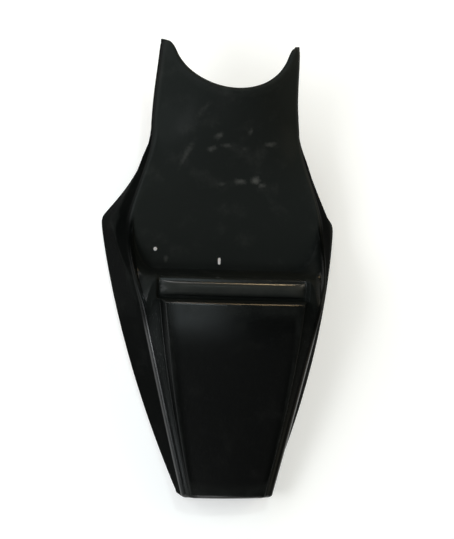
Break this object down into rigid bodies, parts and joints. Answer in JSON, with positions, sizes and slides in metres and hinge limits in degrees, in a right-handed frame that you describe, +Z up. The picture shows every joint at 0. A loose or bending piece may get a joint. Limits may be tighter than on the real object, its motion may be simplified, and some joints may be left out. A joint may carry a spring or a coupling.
{
  "type": "racing seat unit",
  "caption": "Black one-piece glass-fibre race seat unit: horned front cut-out, flat seat pan, back-stop with a rolled bead, tapering tail hump and open-bottomed skirts.",
  "frame": {"origin": "middle of the footprint's bounding box, on the surface that the lower rims stand on", "axes": "+Y forwards to the horns, +Z up, +X to the rider's right; the pan slopes up to the front at the angle it has when the lower rims lie flat"},
  "size_m": [0.4202, 0.7826, 0.1779],
  "materials": {
    "gelcoat": "black gel-coat over glass-fibre laminate"
  },
  "bodies": {
    "root": {"seat_unit": "gelcoat"}
  },
  "joints": []
}
